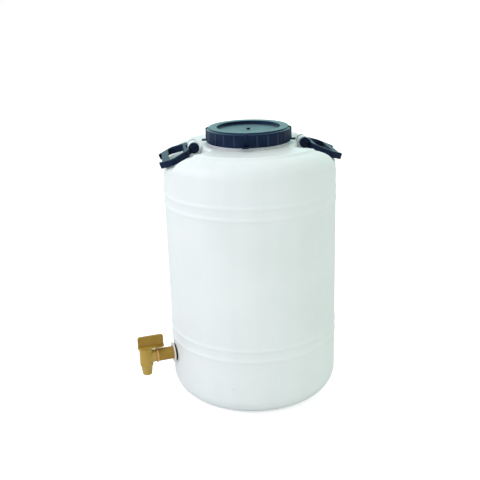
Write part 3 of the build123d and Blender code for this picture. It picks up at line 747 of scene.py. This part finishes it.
def new_material(name):
    """Empty material, the place of each point in metres, and its shader."""
    material = bpy.data.materials.new(name)
    material.use_nodes = True
    tree = material.node_tree
    shader = tree.nodes["Principled BSDF"]
    place = tree.nodes.new("ShaderNodeTexCoord")
    return material, Wire(tree, place.outputs["Object"]), shader


def feed(shader, **values):
    """Set or link a shader's inputs; an underscore stands for a space."""
    for key, value in values.items():
        socket = shader.inputs[key.replace("_", " ")]
        if isinstance(value, Wire):
            value.tree.links.new(value.socket, socket)
        else:
            socket.default_value = value


print("a mid grey as light:", [round(value, 3) for value in colour(128, 128, 128)])

# %% [markdown]
# Natural polyethylene is a cloudy white that lets a little light in, so it gets some subsurface scattering.
# Two noises, one of them drawn out along the height, vary its colour as a blown wall does. A third makes the
# fine skin from the mould, and a faint scuff lies low on the front.

# %% Drum material
SCUFF = (-0.0656, -0.173, 0.0684)
SCUFF_STRETCH = (170, 170, 400)
SCUFF_SHARE = 0.5
STREAK_STRETCH = (30, 30, 2)


def natural_polyethylene():
    """Cloudy white of the drum, with its scuff."""
    material, place, shader = new_material("natural_polyethylene")
    cloud = place.noise(scale=7.0, detail=4.0)
    streak = place.stretch(*STREAK_STRETCH).noise(scale=1.0, detail=2.0)
    tint = (cloud * 0.7 + streak * 0.3).ramp(0.3, 0.7)
    skin = place.noise(scale=260.0, detail=2.0)
    bump = place.node("ShaderNodeBump", {"Height": skin, "Strength": 0.06, "Distance": 0.0006})
    clean = tint.blend(colour(230, 236, 236), colour(236, 241, 242))
    away = place.node("ShaderNodeVectorMath", {0: place, 1: SCUFF}, operation="SUBTRACT")
    away = away.stretch(*SCUFF_STRETCH)
    far = away.node("ShaderNodeVectorMath", {0: away}, output="Value", operation="LENGTH")
    patches = place.noise(scale=500.0).ramp(0.3, 0.6)
    scuffed = (1 - far.ramp(0.2, 1.0)) * patches * SCUFF_SHARE
    feed(shader, Base_Color=scuffed.blend(clean, colour(196, 204, 200)), Roughness=0.34 + cloud * 0.16,
         Normal=bump, Subsurface_Weight=0.25, Subsurface_Scale=0.008, Subsurface_Radius=(1.0, 1.0, 1.0))
    return material


print("scuff at", SCUFF)

# %% [markdown]
# The lid and the handles are a blue-black plastic whose reflections look blue too, so the shader's specular
# tint is blue. One function makes the plastic in several finishes, because its gloss changes with how much a
# place is polished. Their tones differ too: the satin is a little lighter, and the grip ribs are lighter
# still, which is a painted highlight.

# %% Dark plastic of the lid and the handles
BLUE_SHINE = (0.3, 0.55, 1.0, 1.0)


def dark_polyethylene(name="dark_polyethylene", gloss=0.5, rough=0.26, lighter=0):
    """Blue-black plastic with this gloss and roughness, lighter by so many steps of 255."""
    material, place, shader = new_material(name)
    cloud = place.noise(scale=40.0)
    skin = place.noise(scale=700.0, detail=2.0)
    bump = place.node("ShaderNodeBump", {"Height": skin, "Strength": 0.12, "Distance": 0.0004})
    deep = colour(8 + lighter, 16 + lighter, 36 + lighter)
    pale = colour(14 + lighter, 24 + lighter, 46 + lighter)
    feed(shader, Base_Color=cloud.ramp(0.35, 0.65).blend(deep, pale), Roughness=rough + cloud * 0.12,
         Normal=bump, Specular_Tint=BLUE_SHINE, Specular_IOR_Level=gloss)
    return material


print("dark plastic from", dark_polyethylene.__name__)

# %% [markdown]
# The tap is moulded in ochre. Its collar is pinker than the rest. Its barrel is painted paler than its pipe
# and
# its lever: painted light on the barrel and painted shade on the rest. The colours follow two measures of a
# place, its reach along the pipe and its height, so that one material serves the body and the lever.

# %% Ochre plastic of the tap
TAP_AZIMUTH = radians(191.5)
COLLAR_START = 226.0
COLLAR_END = 229.0
COLLAR_TOP = 118.0
COLLAR_BLUR = 0.3
COLLAR_TOP_BLUR = 0.5
BARREL_BLUR = 4.0
PLATE_TOP = 124.4
PLATE_BLUR = 2.0
WARM_SHINE = (1.0, 0.85, 0.5, 1.0)


def ochre_plastic():
    """Ochre of the tap, with its pinker collar, and with its barrel painted paler than the rest as painted
    light.
    """
    material, place, shader = new_material("ochre_plastic")
    cloud = place.noise(scale=55.0)
    outward = (cos(TAP_AZIMUTH), sin(TAP_AZIMUTH), 0)
    along = place.node("ShaderNodeVectorMath", {0: place, 1: outward}, "Value", operation="DOT_PRODUCT")
    reach = along / MM
    height = place.node("ShaderNodeSeparateXYZ", {0: place}, output="Z") / MM
    mottle = cloud.ramp(0.3, 0.7)
    # Deep and pale are shaded and lit copies of one ochre: painted shade and painted light.
    deep = mottle.blend(colour(150, 116, 44), colour(160, 126, 54))
    pale = mottle.blend(colour(174, 140, 66), colour(182, 152, 76))
    collar = reach.ramp(COLLAR_START - COLLAR_BLUR, COLLAR_START)
    collar = collar * (1 - reach.ramp(COLLAR_END, COLLAR_END + COLLAR_BLUR))
    collar = collar * (1 - height.ramp(COLLAR_TOP, COLLAR_TOP + COLLAR_TOP_BLUR))
    # Painted light and shade: the barrel gets the pale ochre as if lit, the pipe and the lever the deep one
    # as if in shade.
    painted_light_on_barrel = reach.ramp(COLLAR_END, COLLAR_END + BARREL_BLUR)
    painted_light_on_barrel = painted_light_on_barrel * (1 - height.ramp(PLATE_TOP, PLATE_TOP + PLATE_BLUR))
    body = painted_light_on_barrel.blend(deep, pale)
    feed(shader, Base_Color=collar.blend(body, colour(214, 166, 110)), Roughness=0.3 + cloud * 0.16,
         Specular_Tint=WARM_SHINE)
    return material


print("tap's collar from", COLLAR_START, "to", COLLAR_END, "mm from the drum's axis")

# %% [markdown]
# The seals are matt black rubber and the washer a plain off-white plastic. Little of them shows, so a cloudy
# noise in the colour and the roughness is enough.

# %% Seals and washer
def black_rubber():
    """Matt black of the seals."""
    material, place, shader = new_material("black_rubber")
    cloud = place.noise(scale=300.0)
    tint = cloud.blend(colour(24, 26, 30), colour(34, 36, 40))
    feed(shader, Base_Color=tint, Roughness=0.65 + cloud * 0.2)
    return material


def white_plastic():
    """Off-white of the tap's washer."""
    material, place, shader = new_material("white_plastic")
    cloud = place.noise(scale=120.0)
    tint = cloud.blend(colour(228, 218, 212), colour(240, 234, 230))
    feed(shader, Base_Color=tint, Roughness=0.4 + cloud * 0.2)
    return material


print("small pieces:", black_rubber.__name__, "and", white_plastic.__name__)

# %% All the finishes
finishes = {make.__name__: make() for make in (
    natural_polyethylene, dark_polyethylene, ochre_plastic, black_rubber, white_plastic)}
finishes["dark_satin"] = dark_polyethylene("dark_satin", gloss=0.2, rough=0.4, lighter=11)
# The grip ribs' finish is glossy, and its lighter colour is a painted highlight.
finishes["dark_gloss_painted_highlight"] = dark_polyethylene("dark_gloss_painted_highlight", gloss=0.5, rough=0.24, lighter=26)
print("finishes:", list(finishes))

# %% [markdown]
# Now the ribs, the lugs and the tabs can go round the lid with their finish. They all start at the same
# azimuth, so the lugs cover every sixth rib. The three sources have done their work and are removed.

# %% Copies of the ribs, lugs and tabs round the lid
RIB_COUNT = 24
LUG_COUNT = 4
LUG_AZIMUTH = radians(-11.0)


def round_lid(name, source, count, finish):
    """Copies of a source in equal steps round the lid, from the first lug on."""
    return from_nodes(name, round_axis, Source=source, Count=count, Start=LUG_AZIMUTH, Material=finish)


satin = finishes["dark_satin"]
# The grip ribs are coloured lighter than the skirt: a painted highlight.
ribs = round_lid("lid_ribs", rib_source, RIB_COUNT, finishes["dark_gloss_painted_highlight"])
lugs = round_lid("lid_lugs", lug_source, LUG_COUNT, satin)
tabs = round_lid("lid_tabs", tab_source, LUG_COUNT, satin)
for made in sources:
    bpy.data.objects.remove(made)
for made in (ribs, lugs, tabs):
    print(made.name, len(made.data.polygons), "faces")

# %% [markdown]
# ## Hand each piece its body and its finish
#
# A new mesh rides on the body of the CAD piece that it stands for. The dark plastic is polished on the lid's
# flat top and ledge, glossier on the grip ribs, whose lighter colour is a painted highlight, and satin
# elsewhere. The lid's cover gets two of these finishes, face by face.

# %% Finish the CAD pieces
FINISHED = {
    "dark_satin": ("right_handle", "left_handle", "right_handle_pin", "left_handle_pin",
                   "right_handle_pin_cap", "left_handle_pin_cap"),
    "ochre_plastic": ("tap_body", "tap_lever_plug", "tap_lock_nut"),
    "black_rubber": ("lid_gasket", "plug_upper_o_ring", "plug_lower_o_ring", "tap_outer_gasket",
                     "tap_inner_gasket"),
    "white_plastic": ("tap_outer_washer",),
}
for finish, names in FINISHED.items():
    for name in names:
        mesh = nodes[name].data
        mesh.materials.clear()
        mesh.materials.append(finishes[finish])
print("CAD pieces finished:", sum(len(names) for names in FINISHED.values()))

# %% Ride and replace
LOOKS_UP = 0.5
POLISH_DEPTH = 4.0
POLISH_FOOT = LID_CEILING - POLISH_DEPTH

for piece in [drum_shell, neck_thread] + bosses:
    piece.data.materials.append(finishes["natural_polyethylene"])
    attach(piece, "drum")
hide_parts("drum_body")
for piece in (lid_cover, lid_thread):
    piece.data.materials.append(satin)
lid_cover.data.materials.append(finishes["dark_polyethylene"])
for face in lid_cover.data.polygons:
    face.material_index = int(face.normal.z > LOOKS_UP and face.center.z > POLISH_FOOT * MM)
for piece in (lid_cover, lid_thread, ribs, lugs, tabs):
    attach(piece, "lid")
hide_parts("screw_lid")
print("polished faces:", sum(face.material_index for face in lid_cover.data.polygons))

# %% [markdown]
# ## The camera
#
# A camera is easiest to place from three facts: where it stands, where it looks and how long its lens is.
# Here it stands about a metre and a half in front of the drum, above its lid, and looks down on it.
# The handles lie along X, so the picture's centre line leaves Y by a few degrees.

# %% Camera
CAMERA_DISTANCE = 1.5895
CAMERA_HEIGHT = 0.8706
CAMERA_TURN = radians(7.0)
LOOK_DOWN = radians(18.43)
LOOK_ASIDE = radians(-0.89)
CAMERA_ROLL = radians(-1.73)
LENS_MM = 56.72
SENSOR_MM = 36.0

heading = LOOK_ASIDE + CAMERA_TURN
forward = Vector((sin(heading) * cos(LOOK_DOWN), cos(heading) * cos(LOOK_DOWN), -sin(LOOK_DOWN)))
level_right = Vector((cos(heading), -sin(heading), 0))
level_up = level_right.cross(forward)
right = level_right * cos(CAMERA_ROLL) + level_up * sin(CAMERA_ROLL)
up = level_up * cos(CAMERA_ROLL) - level_right * sin(CAMERA_ROLL)

lens = bpy.data.cameras.new("camera")
lens.lens = LENS_MM
lens.sensor_width = SENSOR_MM
lens.sensor_fit = "HORIZONTAL"
camera = bpy.data.objects.new("camera", lens)
scene.collection.objects.link(camera)
stance = Matrix((right, up, -forward)).transposed().to_4x4()
back = (-CAMERA_DISTANCE * sin(CAMERA_TURN), -CAMERA_DISTANCE * cos(CAMERA_TURN))
stance.translation = (*back, CAMERA_HEIGHT)
camera.matrix_world = stance
scene.camera = camera
print("camera at", [round(value, 3) for value in camera.location])

# %% [markdown]
# ## Stage and light
#
# The photograph has a white ground. The floor is a plain pale plane, and for rays that come from the camera
# a little glow lifts it to white. The glow lights nothing else, and the drum's shadow still shows on it.

# %% Floor
FLOOR_REACH = 80.0
FLOOR_GLOW = 0.55
WHITE = (1, 1, 1, 1)

floor_mesh = bpy.data.meshes.new("floor")
corners = [(-1, -1), (1, -1), (1, 1), (-1, 1)]
floor_mesh.from_pydata([(x * FLOOR_REACH, y * FLOOR_REACH, 0) for x, y in corners], [], [(0, 1, 2, 3)])
floor = bpy.data.objects.new("floor", floor_mesh)
scene.collection.objects.link(floor)

floor_paint, floor_place, floor_shader = new_material("floor_paint")
rays = floor_place.node("ShaderNodeLightPath", output="Is Camera Ray")
speckle = floor_place.noise(scale=3.0, detail=2.0)
feed(floor_shader, Base_Color=speckle.blend(colour(228, 228, 228), colour(232, 232, 232)), Roughness=0.9)
glow = floor_place.node("ShaderNodeEmission", {"Color": WHITE, "Strength": FLOOR_GLOW})
lit = Wire(glow.tree, floor_shader.outputs[0])
both = glow.node("ShaderNodeAddShader", {0: lit, 1: glow})
floor_look = glow.node("ShaderNodeMixShader", {0: rays, 1: lit, 2: both})
floor_output = floor_paint.node_tree.nodes["Material Output"]
floor_paint.node_tree.links.new(floor_look.socket, floor_output.inputs["Surface"])
floor_mesh.materials.append(floor_paint)
print("floor:", 2 * FLOOR_REACH, "m across")

# %% [markdown]
# The world is the room's light. Diffuse rays see a plain room, a little pink on the left and green on the
# right. Glossy rays see another one, with a bright strip and windows on the left, a pale wall behind the
# drum and a ceiling, because dark plastic shows its room mostly in its reflections. The camera itself sees
# white.

# %% Room that lights the drum
ROOM_LEFT = (0.93, 0.91, 0.97, 1)
ROOM_RIGHT = (0.87, 0.98, 0.87, 1)

world = bpy.data.worlds.new("studio")
scene.world = world
world.use_nodes = True
sky = world.node_tree.nodes["Background"]
seen = world.node_tree.nodes.new("ShaderNodeLightPath")
by_camera = Wire(world.node_tree, seen.outputs["Is Camera Ray"])
by_gloss = Wire(world.node_tree, seen.outputs["Is Glossy Ray"])
direction = by_camera.node("ShaderNodeTexCoord", output="Generated")
sideways = direction.node("ShaderNodeSeparateXYZ", {0: direction}, output="X")
backwards = direction.node("ShaderNodeSeparateXYZ", {0: direction}, output="Y")
upwards = direction.node("ShaderNodeSeparateXYZ", {0: direction}, output="Z")
room = sideways.ramp(-0.8, 0.8).blend(ROOM_LEFT, ROOM_RIGHT)
print("room's light:", ROOM_LEFT[:3], "to", ROOM_RIGHT[:3])

# %% Room that the gloss shows
WINDOWS = (0.60, 0.85, 1.25, 1)
DARK_SIDE = (0.05, 0.07, 0.12, 1)
BRIGHT_STRIP = (1.5, 1.9, 2.4, 1)
WALL_LEFT = (1.3, 1.8, 1.75, 1)
WALL_RIGHT = (0.8, 1.4, 1.35, 1)
CEILING = (0.9, 1.2, 1.3, 1)

mirror_side = sideways.ramp(-0.9, 0.5).blend(WINDOWS, DARK_SIDE)
mirror_side = sideways.ramp(-0.95, -0.75).blend(BRIGHT_STRIP, mirror_side)
mirror_back = sideways.ramp(-0.6, 0.1).blend(WALL_LEFT, WALL_RIGHT)
mirror = backwards.ramp(-0.1, 0.5).blend(mirror_side, mirror_back)
mirror = upwards.ramp(0.7, 0.95).blend(mirror, CEILING)
light = by_gloss.blend(room, mirror)
room_look = by_camera.blend(light, WHITE)
room_look.tree.links.new(room_look.socket, sky.inputs["Color"])
sky.inputs["Strength"].default_value = 1.0
print("world nodes:", len(world.node_tree.nodes))

# %% [markdown]
# One soft lamp stands at the front left. It gives the shell its slight fall of light from left to right, and
# the handles and the lid their soft shadows.

# %% Lamp
LAMP_SIZE = 2.0
LAMP_POWER = 22
LAMP_PLACE = (-2.4, -1.2, 1.9)
LAMP_AIM = Vector((0, 0, 0.3))

key_lamp = bpy.data.lights.new("key", "AREA")
key_lamp.size = LAMP_SIZE
key_lamp.energy = LAMP_POWER
key = bpy.data.objects.new("key", key_lamp)
scene.collection.objects.link(key)
key.location = LAMP_PLACE
key.rotation_euler = (LAMP_AIM - key.location).to_track_quat("-Z", "Y").to_euler()
print("lamp at", LAMP_PLACE)
